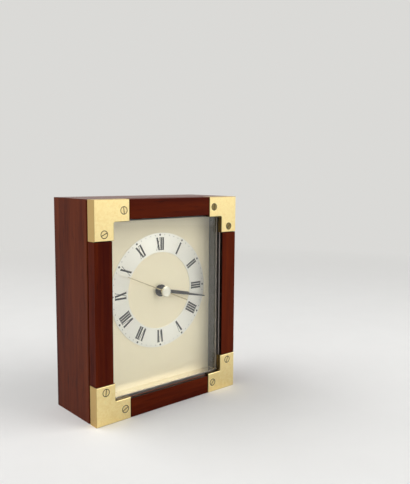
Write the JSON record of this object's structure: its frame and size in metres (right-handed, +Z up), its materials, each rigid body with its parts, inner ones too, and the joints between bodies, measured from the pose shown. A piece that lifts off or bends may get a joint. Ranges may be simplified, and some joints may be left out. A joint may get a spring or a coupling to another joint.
{
  "type": "desk clock",
  "caption": "Upright wooden desk clock with brass corner caps, a glazed front with a round hour ring, three hands and a quartz movement set from the back.",
  "frame": {"origin": "middle of the underside, half way through the depth", "axes": "+Z up, the dial faces -Y, +X to the right as the dial is read"},
  "size_m": [0.125, 0.054, 0.15],
  "materials": {
    "mahogany": "semi-gloss lacquer over red-brown mahogany",
    "softwood": "raw sawn softwood",
    "corner_brass": "polished, lightly tarnished brass",
    "clear_glass": "clear flat glass with ground edges",
    "bead_grey": "satin grey",
    "surround_black": "matte black",
    "dial_cream": "cream satin lacquer",
    "ring_silver": "spun silver-white",
    "hardboard": "pressed fibre board",
    "hand_black": "black satin",
    "hand_gold": "polished gold tone",
    "cap_silver": "polished",
    "movement_black": "moulded black",
    "train_plastic": "natural acetal",
    "train_brass": "machined brass",
    "magnet_grey": "sintered magnet",
    "soft_iron": "stamped soft iron",
    "winding_copper": "enamelled copper wire",
    "board_green": "solder mask",
    "chip_black": "epoxy blob",
    "steel": "plated steel",
    "cell_wrap": "plain dark wrapper",
    "back_black": "fine-textured moulded black"
  },
  "bodies": {
    "case": {"case_left_side": "mahogany", "case_right_side": "mahogany", "case_top_board": "mahogany", "case_bottom_board": "mahogany", "frame_left_stile": "mahogany", "frame_right_stile": "mahogany", "frame_top_rail": "mahogany", "frame_bottom_rail": "mahogany", "corner_blocks": "softwood", "corner_top_left": "corner_brass", "corner_top_right": "corner_brass", "corner_bottom_left": "corner_brass", "corner_bottom_right": "corner_brass", "corner_screws": "corner_brass", "glass_pane": "clear_glass", "glass_bead": "bead_grey", "dial_surround": "surround_black", "dial_plate": "dial_cream", "chapter_ring": "ring_silver", "dial_backboard": "hardboard", "movement_base": "movement_black", "movement_cover": "movement_black", "train_plate": "train_plastic", "coil_bobbin": "train_plastic", "stator": "soft_iron", "coil_core": "soft_iron", "coil_winding": "winding_copper", "circuit_board": "board_green", "driver_chip": "chip_black", "quartz_crystal": "steel", "contact_positive": "steel", "contact_negative": "steel", "movement_screws": "steel", "back_cover_screws": "steel", "battery_cell": "cell_wrap", "back_cover": "back_black"},
    "seconds": {"second_hand": "hand_gold", "hand_cap": "cap_silver", "seconds_wheel": "train_brass"},
    "minutes": {"minute_hand": "hand_black", "centre_wheel": "train_brass"},
    "hours": {"hour_hand": "hand_black", "hour_wheel": "train_plastic"},
    "third": {"third_wheel": "train_plastic"},
    "fifth": {"fifth_wheel": "train_plastic"},
    "rotor": {"rotor_pinion": "train_plastic", "rotor_magnet": "magnet_grey"},
    "motion": {"motion_wheel": "train_plastic"},
    "setting": {"set_stem": "train_plastic", "set_knob": "back_black"},
    "door": {"battery_door": "back_black"}
  },
  "joints": [
    {"name": "second_turn", "type": "hinge", "parent": "case", "child": "seconds", "pos_m": [0, 0, 0.0824], "axis": [0, 1, 0], "continuous": true},
    {"name": "minute_turn", "type": "hinge", "parent": "case", "child": "minutes", "pos_m": [0, 0, 0.0824], "axis": [0, 1, 0], "continuous": true},
    {"name": "hour_turn", "type": "hinge", "parent": "case", "child": "hours", "pos_m": [0, 0, 0.0824], "axis": [0, 1, 0], "continuous": true},
    {"name": "third_turn", "type": "hinge", "parent": "case", "child": "third", "pos_m": [-0.00489, 0, 0.09288], "axis": [0, 1, 0], "continuous": true},
    {"name": "fifth_turn", "type": "hinge", "parent": "case", "child": "fifth", "pos_m": [0.00727, 0, 0.0866], "axis": [0, 1, 0], "continuous": true},
    {"name": "rotor_turn", "type": "hinge", "parent": "case", "child": "rotor", "pos_m": [0.01015, 0, 0.09449], "axis": [0, 1, 0], "continuous": true},
    {"name": "motion_turn", "type": "hinge", "parent": "case", "child": "motion", "pos_m": [-0.01, 0, 0.0824], "axis": [0, 1, 0], "continuous": true},
    {"name": "knob_turn", "type": "hinge", "parent": "case", "child": "setting", "pos_m": [-0.02, 0, 0.0824], "axis": [0, 1, 0], "continuous": true},
    {"name": "door_lift", "type": "slide", "parent": "case", "child": "door", "axis": [0, 1, 0], "range_m": [0, 0.025]}
  ],
  "couplings": [
    {"joint": "minute_turn", "follows": "second_turn", "ratio": 0.016667},
    {"joint": "hour_turn", "follows": "second_turn", "ratio": 0.0013889},
    {"joint": "third_turn", "follows": "second_turn", "ratio": -0.125},
    {"joint": "fifth_turn", "follows": "second_turn", "ratio": -5},
    {"joint": "rotor_turn", "follows": "second_turn", "ratio": 30},
    {"joint": "motion_turn", "follows": "second_turn", "ratio": -0.0055556},
    {"joint": "knob_turn", "follows": "second_turn", "ratio": 0.016667}
  ]
}
